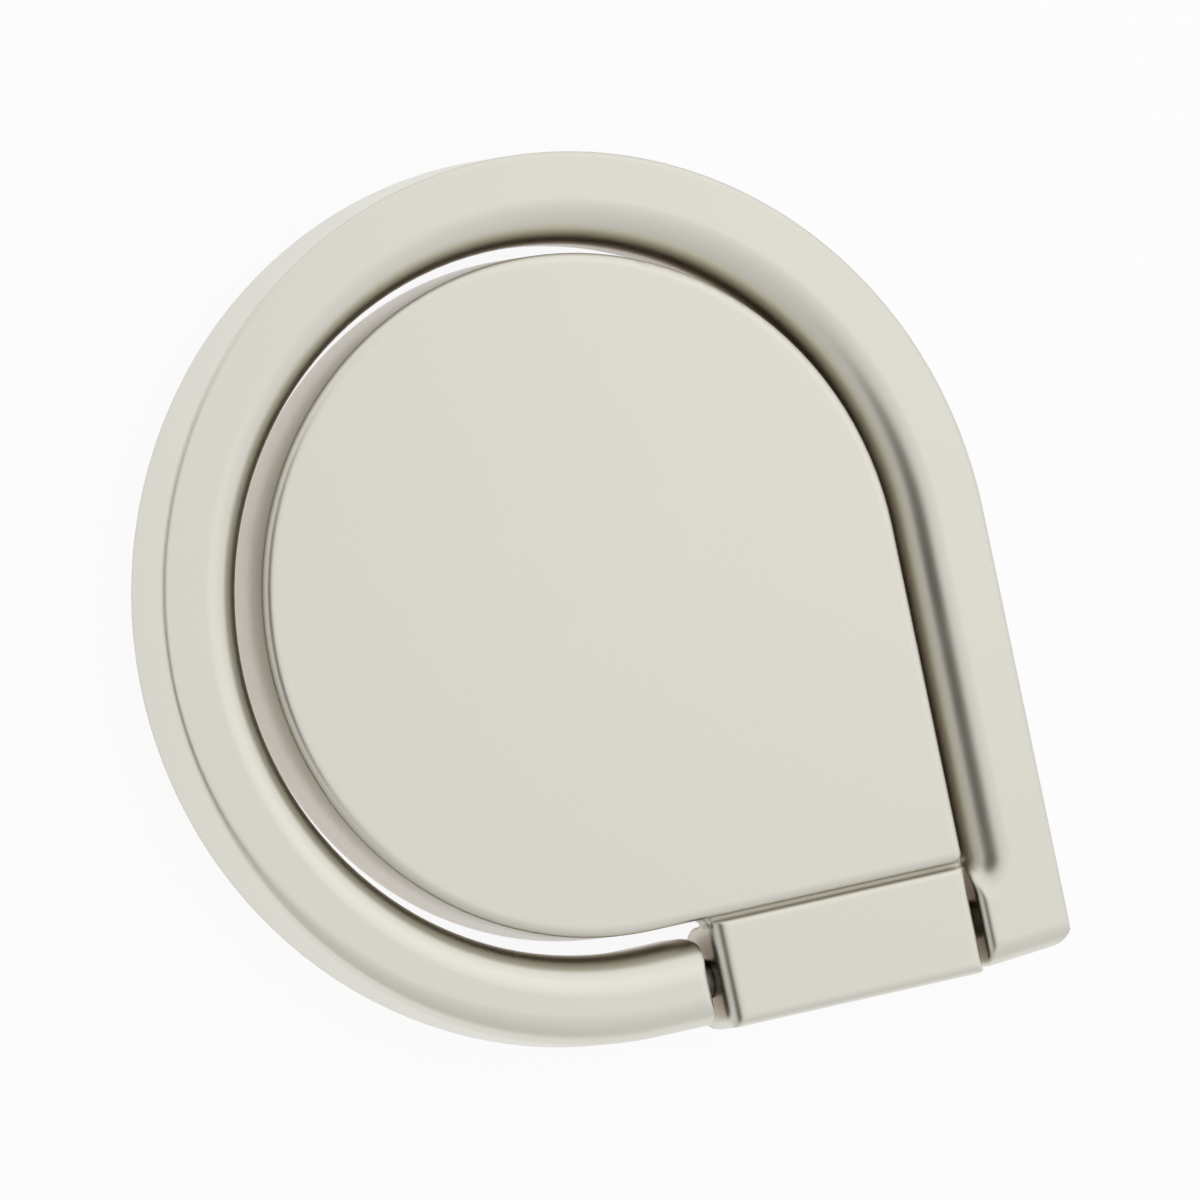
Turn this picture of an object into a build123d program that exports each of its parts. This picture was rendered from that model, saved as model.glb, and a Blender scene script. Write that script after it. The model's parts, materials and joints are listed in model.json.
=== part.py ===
"""Phone ring holder: a teardrop base plate, and a teardrop finger ring hinged to it by a pin.

The frame: X runs along the hinge towards the square corner, Y away from the hinge, and Z out of the
plate's face. The origin is the centre of the round outlines, on the back of the adhesive pad.
Lengths are in millimetres and angles in degrees.
"""

import os
from math import cos, pi, radians, sin

from build123d import *

# Base plate
plate_radius = 13.61
plate_thickness = 3.8
plate_shift_right = 0.15
plate_shift_up = 0.07
plate_edge_round = 0.35
plate_back_chamfer = 0.2

# Finger ring
ring_clearance = 0.53
ring_band = 3.61
ring_height = 3.55
ring_inner_round = 1.7
ring_inner_back_chamfer = 0.5
ring_edge_chamfer = 0.1
ring_back_chamfer = 0.15
halves_margin = 0.1
halves_overlap = 0.3

# The ring's outer edges at the hinge side, where they are fuller, and how they fade around the ring
hinge_side_round = 1.1
hinge_side_back_chamfer = 0.7
fades_over = 100.0
fading_sections = 6

# The ring's two ears, either side of the slot that the knuckle fills
left_ear_length = 2.17
left_ear_gap = 0.55
ear_edge_round = 0.38
ear_front_round = 0.15
ear_corner_round = 0.5
right_ear_step = 0.57
right_ear_proud = 0.15
right_ear_round = 0.8
corner_radius = 0.85
corner_lift = 0.28
run_out_radius = 0.15

# Knuckle block on the base plate
knuckle_proud = 0.3
knuckle_front_round = 0.35
knuckle_left_round = 0.6
knuckle_right_round = 0.3
knuckle_corner_round = 0.25
groove_width = 0.2
groove_wall = 0.05
groove_edge_round = 0.2
neck_fillet = 0.45
neck_lift = 0.1

# Hinge pin
pin_diameter = 1.5
pin_inset = 1.79
pin_running_clearance = 0.03
pin_depth_in_left_ear = 3.0
pin_end_clearance = 0.2
pin_recess = 0.1
pin_end_chamfer = 0.2

# Adhesive pad
pad_thickness = 0.8
pad_inset = 0.5
pad_corner_round = 0.6

# Directions around the ring
hinge_side_heading = 270.0
round_ends_at = 270.0

# Worked out from the sizes above
ring_inner = plate_radius + ring_clearance
ring_outer = ring_inner + ring_band
ring_top = pad_thickness + ring_height
ring_middle = pad_thickness + ring_height / 2
band_middle = ring_inner + ring_band / 2
half_band = ring_band / 2
half_height = ring_height / 2
halves_meet = ring_inner_round + halves_margin - half_band
hinge_y = -ring_outer + pin_inset
plate_hinge_edge = plate_shift_up - plate_radius
pin_radius = pin_diameter / 2
bore_radius = pin_radius + pin_running_clearance
knuckle_left = left_ear_length + left_ear_gap
knuckle_right = plate_shift_right + plate_radius
knuckle_length = knuckle_right - knuckle_left
knuckle_radius = pin_inset + knuckle_proud
knuckle_front = hinge_y - knuckle_radius
knuckle_back = hinge_y + knuckle_radius
groove_front = plate_hinge_edge - groove_width
groove_rim = ring_top - groove_edge_round - groove_wall
neck_bottom = ring_middle + neck_fillet + neck_lift
right_ear_front = -ring_outer - right_ear_proud
right_ear_back = -ring_inner + right_ear_step
corner_y = right_ear_front + corner_lift
run_out_x = ring_inner - run_out_radius
pin_left = left_ear_length - pin_depth_in_left_ear
pin_right = ring_outer - pin_recess


def round_corner(sketch, corner, radius):
    """Rounds the sketch's corner that lies nearest to a point of its plane."""
    fillet(sketch.vertices().sort_by_distance(corner)[0], radius=radius)


def cut_corner(sketch, corner, length):
    """Chamfers the sketch's corner that lies nearest to a point of its plane."""
    chamfer(sketch.vertices().sort_by_distance(corner)[0], length=length)


def corner_waste(corner, inward, radius):
    """What a square corner loses to a rounding. Cut along an edge, it rounds that edge off."""
    x, y = corner
    right, up = inward
    with BuildSketch(mode=Mode.PRIVATE) as waste:
        with Locations((x, y)):
            Rectangle(2 * radius, 2 * radius)
        with Locations((x + right * radius, y + up * radius)):
            Circle(radius, mode=Mode.SUBTRACT)
    return waste.sketch


def teardrop(radius, corner):
    """A disc whose quarter at the right-hand end of the hinge is filled out to a square corner."""
    with BuildSketch(mode=Mode.PRIVATE) as outline:
        Circle(radius)
        Rectangle(radius, radius, align=(Align.MIN, Align.MAX))
        round_corner(outline, (radius, -radius), corner)
    return outline.sketch


def section_plane(angle):
    """The plane across the ring at an angle clockwise from the hinge side. Its x points outwards."""
    outward = Vector(-sin(radians(angle)), -cos(radians(angle)), 0)
    centre = outward * band_middle + Vector(0, 0, ring_middle)
    return Plane(origin=centre, x_dir=outward, z_dir=outward.cross(Vector(0, 0, 1)))


def faded(at_hinge_side, elsewhere, angle):
    """A size that eases from its value at the hinge side to the one that the rest of the ring has."""
    share = (1 + cos(pi * min(angle / fades_over, 1))) / 2
    return elsewhere + (at_hinge_side - elsewhere) * share


def inner_half():
    """The inner half of the ring's section, well rounded on top and chamfered on the back."""
    with BuildSketch(mode=Mode.PRIVATE) as section:
        with Locations((-half_band, 0)):
            inner_width = half_band + halves_meet + halves_overlap
            Rectangle(inner_width, ring_height, align=(Align.MIN, Align.CENTER))
        round_corner(section, (-half_band, half_height), ring_inner_round)
        cut_corner(section, (-half_band, -half_height), ring_inner_back_chamfer)
    return section.sketch


def outer_half(angle):
    """The outer half of the ring's section. A rounding at the hinge side fades into a fine chamfer."""
    with BuildSketch(mode=Mode.PRIVATE) as section:
        with Locations((half_band, 0)):
            Rectangle(half_band - halves_meet, ring_height, align=(Align.MAX, Align.CENTER))
        if angle < fades_over:
            edge_round = faded(hinge_side_round, ring_edge_chamfer, angle)
            round_corner(section, (half_band, half_height), edge_round)
        else:
            cut_corner(section, (half_band, half_height), ring_edge_chamfer)
        back_chamfer = faded(hinge_side_back_chamfer, ring_back_chamfer, angle)
        cut_corner(section, (half_band, -half_height), back_chamfer)
    return section.sketch


# The knuckle block: a flat top level with the ring, a barrel below, and a neck to the plate under a groove
with BuildPart() as knuckle:
    with BuildSketch(Plane.YZ.offset(knuckle_left)) as knuckle_profile:
        with BuildLine():
            Polyline(
                (knuckle_front, ring_middle),
                (knuckle_front, ring_top),
                (groove_front, ring_top),
                (groove_front, groove_rim),
            )
            ThreePointArc(
                (groove_front, groove_rim),
                ((groove_front + plate_hinge_edge) / 2, groove_rim - groove_width / 2),
                (plate_hinge_edge, groove_rim),
            )
            Polyline(
                (plate_hinge_edge, groove_rim),
                (0, groove_rim),
                (0, neck_bottom),
                (knuckle_back, neck_bottom),
                (knuckle_back, ring_middle),
            )
            ThreePointArc(
                (knuckle_back, ring_middle),
                (hinge_y, ring_middle - knuckle_radius),
                (knuckle_front, ring_middle),
            )
        make_face()
        round_corner(knuckle_profile, (knuckle_front, ring_top), knuckle_front_round)
        round_corner(knuckle_profile, (groove_front, ring_top), groove_edge_round)
        round_corner(knuckle_profile, (knuckle_back, neck_bottom), neck_fillet)
    extrude(amount=knuckle_length)

    # Its two ends, rounded along the top and up the front
    with BuildSketch(Plane.XZ):
        add(corner_waste((knuckle_left, ring_top), (1, -1), knuckle_left_round))
        add(corner_waste((knuckle_right, ring_top), (-1, -1), knuckle_right_round))
    extrude(amount=2 * ring_outer, mode=Mode.SUBTRACT)
    with BuildSketch():
        add(corner_waste((knuckle_left, knuckle_front), (1, 1), knuckle_corner_round))
        add(corner_waste((knuckle_right, knuckle_front), (-1, 1), knuckle_corner_round))
    extrude(amount=2 * ring_top, mode=Mode.SUBTRACT)

# Base plate, one casting with the knuckle block
with BuildPart() as base_plate:
    # The teardrop plate
    with BuildSketch(Plane.XY.offset(pad_thickness)):
        with Locations((plate_shift_right, plate_shift_up)):
            add(teardrop(plate_radius, plate_edge_round))
    extrude(amount=plate_thickness)
    fillet(base_plate.faces().sort_by(Axis.Z)[-1].edges(), radius=plate_edge_round)
    chamfer(base_plate.faces().sort_by(Axis.Z)[0].edges(), length=plate_back_chamfer)
    add(knuckle.part)

    # A web that rounds off the inside corner between the plate's edge and the neck
    with BuildSketch(Plane.XY.offset(neck_bottom)):
        with Locations((knuckle_left, plate_hinge_edge)):
            Rectangle(neck_fillet, neck_fillet, align=(Align.MAX, Align.MAX))
        with Locations((knuckle_left - neck_fillet, plate_hinge_edge - neck_fillet)):
            Circle(neck_fillet, mode=Mode.SUBTRACT)
    extrude(amount=groove_rim - neck_bottom)

    # The bore that the pin runs in
    with BuildSketch(Plane.YZ):
        with Locations((hinge_y, ring_middle)):
            Circle(bore_radius)
    extrude(amount=ring_outer, mode=Mode.SUBTRACT)

# The left ear of the ring: the section at the hinge side carried straight on to the slot
with BuildPart() as left_ear:
    with BuildSketch(section_plane(0)):
        add(inner_half())
        add(outer_half(0))
    extrude(amount=-left_ear_length)
    with BuildSketch():
        add(corner_waste((left_ear_length, -ring_outer), (-1, 1), ear_front_round))
        add(corner_waste((left_ear_length, -ring_inner), (-1, -1), ear_corner_round))
    extrude(amount=2 * ring_top, mode=Mode.SUBTRACT)
    with BuildSketch(Plane.XZ):
        add(corner_waste((left_ear_length, ring_top), (-1, -1), ear_edge_round))
    extrude(amount=2 * ring_outer, mode=Mode.SUBTRACT)

# The right ear of the ring: the square corner. Its hinge side leans a little towards the corner.
with BuildPart() as right_ear:
    hinge_side = Plane(
        origin=(ring_inner, right_ear_front, ring_middle),
        x_dir=(-corner_lift, ring_band, 0),
        z_dir=(ring_band, corner_lift, 0),
    )
    with BuildSketch(hinge_side.offset(-ring_band)) as hinge_side_section:
        Rectangle(ring_outer, ring_height, align=(Align.MIN, Align.CENTER))
        round_corner(hinge_side_section, (0, half_height), right_ear_round)
        cut_corner(hinge_side_section, (0, -half_height), hinge_side_back_chamfer)
    extrude(amount=3 * ring_band)
    with BuildSketch(Plane.XZ) as side_section:
        with Locations((ring_inner, ring_middle)):
            Rectangle(ring_band, ring_height, align=(Align.MIN, Align.CENTER))
        round_corner(side_section, (ring_inner, ring_top), ear_edge_round)
        round_corner(side_section, (ring_inner, pad_thickness), ear_edge_round)
        cut_corner(side_section, (ring_outer, ring_top), ring_edge_chamfer)
        cut_corner(side_section, (ring_outer, pad_thickness), ring_back_chamfer)
    extrude(amount=2 * ring_outer, mode=Mode.INTERSECT)
    with BuildSketch() as right_ear_plan:
        with BuildLine():
            Polyline(
                (ring_inner, right_ear_front),
                (ring_outer, corner_y),
                (ring_outer, right_ear_back),
                (ring_inner, right_ear_back),
                close=True,
            )
        make_face()
        round_corner(right_ear_plan, (ring_inner, right_ear_front), ear_front_round)
        round_corner(right_ear_plan, (ring_outer, corner_y), corner_radius)
    extrude(amount=2 * ring_top, mode=Mode.INTERSECT)

    # The ring's inner edges run out here, around the end of its inner wall
    with BuildSketch(Plane.XZ.offset(-right_ear_back)):
        with BuildLine():
            Polyline(
                (run_out_x, pad_thickness + ring_inner_back_chamfer),
                (ring_inner, pad_thickness + ring_inner_back_chamfer),
                (ring_inner + ring_inner_back_chamfer, pad_thickness),
                (ring_inner + ring_inner_back_chamfer, 0),
                (run_out_x, 0),
                close=True,
            )
        make_face()
        add(corner_waste((ring_inner, ring_top), (1, -1), ring_inner_round))
        with Locations((run_out_x, ring_middle)):
            Rectangle(ring_outer, ring_outer, align=(Align.MAX, Align.CENTER), mode=Mode.SUBTRACT)
    revolve(axis=Axis((run_out_x, right_ear_back, 0), (0, 0, 1)), mode=Mode.SUBTRACT)

# Finger ring, with a slot at the hinge side between its two ears
with BuildPart() as finger_ring:
    # The inner half is the same all around
    with BuildSketch(section_plane(round_ends_at)):
        add(inner_half())
    revolve(axis=Axis.Z, revolution_arc=round_ends_at)

    # The outer half: the stretch where its edges fade, then the rest of the round
    for step in range(fading_sections):
        angle = fades_over * step / (fading_sections - 1)
        with BuildSketch(section_plane(angle)):
            add(outer_half(angle))
    with BuildLine(Plane.XY.offset(ring_middle)) as fading_path:
        CenterArc((0, 0), band_middle, hinge_side_heading, -fades_over)
    sweep(path=fading_path.wires()[0], multisection=True)
    with BuildSketch(section_plane(round_ends_at)):
        add(outer_half(round_ends_at))
    revolve(axis=Axis.Z, revolution_arc=round_ends_at - fades_over)

    # The straight right side, and the two ears
    with BuildSketch(section_plane(round_ends_at)):
        add(inner_half())
        add(outer_half(round_ends_at))
    extrude(amount=-right_ear_back)
    add(left_ear.part)
    add(right_ear.part)

    # The pin's holes, right through the right ear and blind in the left one
    with BuildSketch(Plane.YZ.offset(pin_left - pin_end_clearance)):
        with Locations((hinge_y, ring_middle)):
            Circle(pin_radius)
    extrude(amount=2 * ring_outer, mode=Mode.SUBTRACT)

# Hinge pin, fixed in both ears
with BuildPart() as hinge_pin:
    with BuildSketch(Plane.YZ.offset(pin_left)):
        with Locations((hinge_y, ring_middle)):
            Circle(pin_radius)
    extrude(amount=pin_right - pin_left)
    chamfer(hinge_pin.edges().filter_by(GeomType.CIRCLE), length=pin_end_chamfer)

# Adhesive pad on the plate's back
with BuildPart() as adhesive_pad:
    with BuildSketch():
        with Locations((plate_shift_right, plate_shift_up)):
            add(teardrop(plate_radius - pad_inset, pad_corner_round))
    extrude(amount=pad_thickness)

base_plate.part.label = "base_plate"
finger_ring.part.label = "finger_ring"
hinge_pin.part.label = "hinge_pin"
adhesive_pad.part.label = "adhesive_pad"

os.makedirs("parts", exist_ok=True)
export_step(base_plate.part, "parts/base_plate.step")
export_step(finger_ring.part, "parts/finger_ring.step")
export_step(hinge_pin.part, "parts/hinge_pin.step")
export_step(adhesive_pad.part, "parts/adhesive_pad.step")
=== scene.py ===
"""The phone ring holder's looks: satin nickel, ground steel and foam, on a white floor in soft studio light."""

import json

import bpy
from mathutils import Matrix, Vector


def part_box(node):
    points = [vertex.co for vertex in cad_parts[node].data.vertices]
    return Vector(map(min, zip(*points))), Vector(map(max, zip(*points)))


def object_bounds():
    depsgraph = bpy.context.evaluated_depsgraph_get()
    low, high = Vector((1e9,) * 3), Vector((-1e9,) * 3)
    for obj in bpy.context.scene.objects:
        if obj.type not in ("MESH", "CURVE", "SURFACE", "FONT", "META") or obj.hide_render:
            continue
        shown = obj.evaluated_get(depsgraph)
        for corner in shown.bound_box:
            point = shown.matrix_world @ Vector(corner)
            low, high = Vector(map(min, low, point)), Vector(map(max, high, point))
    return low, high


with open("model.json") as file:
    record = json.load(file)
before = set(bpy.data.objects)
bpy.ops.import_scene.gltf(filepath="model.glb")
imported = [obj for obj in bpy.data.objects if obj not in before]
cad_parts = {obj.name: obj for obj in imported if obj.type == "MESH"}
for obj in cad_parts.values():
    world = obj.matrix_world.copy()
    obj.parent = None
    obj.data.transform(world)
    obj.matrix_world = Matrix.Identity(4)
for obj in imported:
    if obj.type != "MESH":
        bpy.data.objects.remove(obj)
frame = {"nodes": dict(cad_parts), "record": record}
box_at_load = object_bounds()

MM = 0.001

# Camera: a long lens from far off, turned and framed as in the photograph
photo_width = 1200
photo_pixels_per_mm = 25.2
ring_centre_in_photo = (579.4, 597.6)
camera_distance = 2.0
camera_sensor = 36.0
camera_back = Vector((-0.371, 0.029, 0.9285))
camera_right = Vector((0.907, -0.205, 0.369))

# Floor: glows white to the camera and in reflections, and is matte white for the rest, which takes the shadow
floor_radius = 0.5
floor_segments = 96
floor_glow = 0.92
floor_white = (0.9, 0.9, 0.9, 1.0)

# Softbox: level, and off to the side, so that the faces mirror its edge and grow brighter towards the upper right
softbox_place = (0.108, 0.0415, 0.14)
softbox_size = 0.12
softbox_power = 0.0077

# Sky: a soft tent, brighter on one side, with a dark place where the camera and its stand are
sky_level = 0.89
sky_tilt = Vector((0.13, 0.18, 0.0))
tent_white = (1.0, 1.0, 1.0, 1.0)
stand_direction = Vector((-0.54, 0.08, 0.84)).normalized()
stand_widening = (1.0, 1.7, 1.0)
stand_spread = (0.91, 0.98)
stand_colour = (0.10, 0.08, 0.065, 1.0)

# All materials
noise_range = (0.3, 0.7)
# Reach and samples of the ambient occlusion that paints shade into narrow gaps
painted_shade_reach = 3 * MM
painted_shade_samples = 8
edge_softness = 0.26 * MM
edge_samples = 6
patch_size = 4 * MM
patch_detail = 3
grain_detail = 2

# Satin nickel: its colour at each openness, from deep in a gap to the open faces; the darker steps are painted shade
# in the gaps, and the top two give a slight random tone on the open faces
nickel_painted_shade_and_tone = [
    (0.02, (0.48, 0.41, 0.34, 1.0)),
    (0.10, (0.63, 0.585, 0.515, 1.0)),
    (0.25, (0.65, 0.62, 0.55, 1.0)),
    (0.45, (0.69, 0.675, 0.60, 1.0)),
    (1.00, (0.71, 0.695, 0.62, 1.0)),
]
nickel_patches = (0.75, 1.0)
nickel_roughness = (0.27, 0.31)
nickel_grain_size = 0.12 * MM
nickel_grain_height = 0.01 * MM
nickel_grain_strength = 0.05

# Ground steel: near black as painted shade inside the hinge, plain steel where open
steel_painted_shade = [
    (0.30, (0.05, 0.04, 0.03, 1.0)),
    (0.70, (0.58, 0.57, 0.55, 1.0)),
]
steel_patches = (0.9, 1.0)
steel_roughness = (0.22, 0.32)
steel_roughness_size = 1 * MM

# Foam
foam_colour = (0.06, 0.06, 0.06, 1.0)
foam_roughness = 0.9
foam_grain_size = 0.15 * MM
foam_grain_height = 0.05 * MM
foam_grain_strength = 0.4


def add_node(tree, kind, **settings):
    """Adds a node to a tree and sets its properties."""
    made = tree.nodes.new(kind)
    for name, value in settings.items():
        setattr(made, name, value)
    return made


def new_material(name):
    """A new material with its node tree and its shader."""
    material = bpy.data.materials.new(name)
    material.use_nodes = True
    return material, material.node_tree, material.node_tree.nodes["Principled BSDF"]


def noise(tree, size, detail):
    """Noise in the object's own space, with features of about that size in metres."""
    place = add_node(tree, "ShaderNodeTexCoord")
    texture = add_node(tree, "ShaderNodeTexNoise")
    texture.inputs["Scale"].default_value = 1 / size
    texture.inputs["Detail"].default_value = detail
    tree.links.new(place.outputs["Object"], texture.inputs["Vector"])
    return texture.outputs["Fac"]


def patches(tree, size, lowest, highest):
    """Noise in patches of about that size, spread from a lowest to a highest value."""
    mapped = add_node(tree, "ShaderNodeMapRange")
    mapped.inputs["From Min"].default_value, mapped.inputs["From Max"].default_value = noise_range
    mapped.inputs["To Min"].default_value = lowest
    mapped.inputs["To Max"].default_value = highest
    tree.links.new(noise(tree, size, patch_detail), mapped.inputs["Value"])
    return mapped.outputs["Result"]


def painted_gap_shade_and_patches(tree, steps, patch_range):
    """A colour that goes by how open the surface lies (ambient occlusion): painted shade that darkens it in narrow
    gaps, and a little random patchiness elsewhere.
    """
    gap_occlusion = add_node(tree, "ShaderNodeAmbientOcclusion", samples=painted_shade_samples)
    gap_occlusion.inputs["Distance"].default_value = painted_shade_reach
    patchy = add_node(tree, "ShaderNodeMath", operation="MULTIPLY")
    tree.links.new(gap_occlusion.outputs["AO"], patchy.inputs[0])
    tree.links.new(patches(tree, patch_size, *patch_range), patchy.inputs[1])
    shade = add_node(tree, "ShaderNodeValToRGB")
    ramp = shade.color_ramp
    while len(ramp.elements) < len(steps):
        ramp.elements.new(1.0)
    for element, (position, colour) in zip(ramp.elements, steps):
        element.position = position
        element.color = colour
    tree.links.new(patchy.outputs[0], shade.inputs["Fac"])
    return shade.outputs["Color"]


def grain(tree, shader, size, height, strength):
    """Gives a shader a fine grainy surface, with its edges softened."""
    soft = add_node(tree, "ShaderNodeBevel", samples=edge_samples)
    soft.inputs["Radius"].default_value = edge_softness
    bump = add_node(tree, "ShaderNodeBump")
    bump.inputs["Strength"].default_value = strength
    bump.inputs["Distance"].default_value = height
    tree.links.new(soft.outputs["Normal"], bump.inputs["Normal"])
    tree.links.new(noise(tree, size, grain_detail), bump.inputs["Height"])
    tree.links.new(bump.outputs["Normal"], shader.inputs["Normal"])


def satin_nickel():
    """Plated die casting, with a fine satin grain, and painted shade that darkens it in its gaps."""
    material, tree, shader = new_material("satin_nickel")
    shader.inputs["Metallic"].default_value = 1.0
    colour = painted_gap_shade_and_patches(tree, nickel_painted_shade_and_tone, nickel_patches)
    tree.links.new(colour, shader.inputs["Base Color"])
    tree.links.new(patches(tree, patch_size, *nickel_roughness), shader.inputs["Roughness"])
    grain(tree, shader, nickel_grain_size, nickel_grain_height, nickel_grain_strength)
    return material


def pin_steel():
    """Plain ground steel, with painted shade that makes it dark inside the hinge."""
    material, tree, shader = new_material("pin_steel")
    shader.inputs["Metallic"].default_value = 1.0
    colour = painted_gap_shade_and_patches(tree, steel_painted_shade, steel_patches)
    tree.links.new(colour, shader.inputs["Base Color"])
    tree.links.new(patches(tree, steel_roughness_size, *steel_roughness), shader.inputs["Roughness"])
    return material


def adhesive_foam():
    """Matte black foam tape."""
    material, tree, shader = new_material("adhesive_foam")
    shader.inputs["Base Color"].default_value = foam_colour
    shader.inputs["Roughness"].default_value = foam_roughness
    grain(tree, shader, foam_grain_size, foam_grain_height, foam_grain_strength)
    return material


def white_floor():
    """A floor that shows white, and still takes the object's shadow."""
    material = bpy.data.materials.new("floor")
    material.use_nodes = True
    tree = material.node_tree
    tree.nodes.clear()
    ray = add_node(tree, "ShaderNodeLightPath")
    seen = ray.outputs["Is Camera Ray"]
    for kind in ("Is Glossy Ray", "Is Transmission Ray"):
        either = add_node(tree, "ShaderNodeMath", operation="MAXIMUM")
        tree.links.new(seen, either.inputs[0])
        tree.links.new(ray.outputs[kind], either.inputs[1])
        seen = either.outputs[0]
    share = add_node(tree, "ShaderNodeMath", operation="MULTIPLY")
    share.inputs[1].default_value = floor_glow
    tree.links.new(seen, share.inputs[0])
    matte = add_node(tree, "ShaderNodeBsdfDiffuse")
    matte.inputs["Color"].default_value = floor_white
    glow = add_node(tree, "ShaderNodeEmission")
    glow.inputs["Strength"].default_value = 1.0
    mixed = add_node(tree, "ShaderNodeMixShader")
    tree.links.new(share.outputs[0], mixed.inputs["Fac"])
    tree.links.new(matte.outputs[0], mixed.inputs[1])
    tree.links.new(glow.outputs[0], mixed.inputs[2])
    output = add_node(tree, "ShaderNodeOutputMaterial")
    tree.links.new(mixed.outputs[0], output.inputs["Surface"])
    return material


def share_along(tree, way, axis):
    """How far a direction in the sky runs along an axis."""
    product = add_node(tree, "ShaderNodeVectorMath", operation="DOT_PRODUCT")
    product.inputs[1].default_value = axis
    tree.links.new(way, product.inputs[0])
    return product.outputs["Value"]


def studio_sky():
    """A tent of soft light around the object, dark where the camera's stand is."""
    world = bpy.data.worlds.new("studio")
    world.use_nodes = True
    tree = world.node_tree
    background = tree.nodes["Background"]
    direction = add_node(tree, "ShaderNodeTexCoord").outputs["Generated"]

    level = add_node(tree, "ShaderNodeMath", operation="ADD")
    level.inputs[1].default_value = sky_level
    tree.links.new(share_along(tree, direction, sky_tilt), level.inputs[0])
    tree.links.new(level.outputs[0], background.inputs["Strength"])

    widened = add_node(tree, "ShaderNodeMapping", vector_type="NORMAL")
    widened.inputs["Scale"].default_value = stand_widening
    tree.links.new(direction, widened.inputs["Vector"])
    stand = add_node(tree, "ShaderNodeMapRange", interpolation_type="SMOOTHSTEP")
    stand.inputs["From Min"].default_value, stand.inputs["From Max"].default_value = stand_spread
    tree.links.new(share_along(tree, widened.outputs["Vector"], stand_direction), stand.inputs["Value"])

    shade = add_node(tree, "ShaderNodeMix", data_type="RGBA")
    unshaded, shaded = [socket for socket in shade.inputs if socket.type == "RGBA"]
    unshaded.default_value = tent_white
    shaded.default_value = stand_colour
    tree.links.new(stand.outputs["Result"], shade.inputs["Factor"])
    sky_colour = next(socket for socket in shade.outputs if socket.type == "RGBA")
    tree.links.new(sky_colour, background.inputs["Color"])
    return world


# Materials, by the record's slots
materials = {"satin_nickel": satin_nickel(), "pin_steel": pin_steel(), "adhesive_foam": adhesive_foam()}
for subpart in frame["record"]["subparts"]:
    node = frame["nodes"][subpart["node"]]
    node.data.materials.clear()
    node.data.materials.append(materials[subpart["material_slot"]])

# Floor, level with the pad's back
bpy.ops.mesh.primitive_circle_add(vertices=floor_segments, radius=floor_radius, fill_type="NGON")
floor = bpy.context.object
floor.name = "floor"
floor.location.z = box_at_load[0].z
floor.data.materials.append(white_floor())

# Light
bpy.context.scene.world = studio_sky()
lamp = bpy.data.lights.new("softbox", "AREA")
lamp.size = softbox_size
lamp.energy = softbox_power
softbox = bpy.data.objects.new("softbox", lamp)
softbox.location = softbox_place
bpy.context.collection.objects.link(softbox)

# Camera
back = camera_back.normalized()
right = (camera_right - camera_right.dot(back) * back).normalized()
up = back.cross(right)
ring_face_centre = Vector((0, 0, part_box("finger_ring")[1].z))
photo_middle = photo_width / 2
off_right = (ring_centre_in_photo[0] - photo_middle) / photo_pixels_per_mm * MM
off_up = (photo_middle - ring_centre_in_photo[1]) / photo_pixels_per_mm * MM
lens = bpy.data.cameras.new("camera")
lens.sensor_width = camera_sensor
lens.lens = camera_sensor * photo_pixels_per_mm / MM * camera_distance / photo_width
lens.clip_end = 2 * camera_distance
camera = bpy.data.objects.new("camera", lens)
camera_place = ring_face_centre - off_right * right - off_up * up + camera_distance * back
camera.matrix_world = Matrix.Translation(camera_place) @ Matrix((right, up, back)).transposed().to_4x4()
bpy.context.collection.objects.link(camera)
bpy.context.scene.camera = camera

bpy.context.scene.view_settings.view_transform = "Standard"
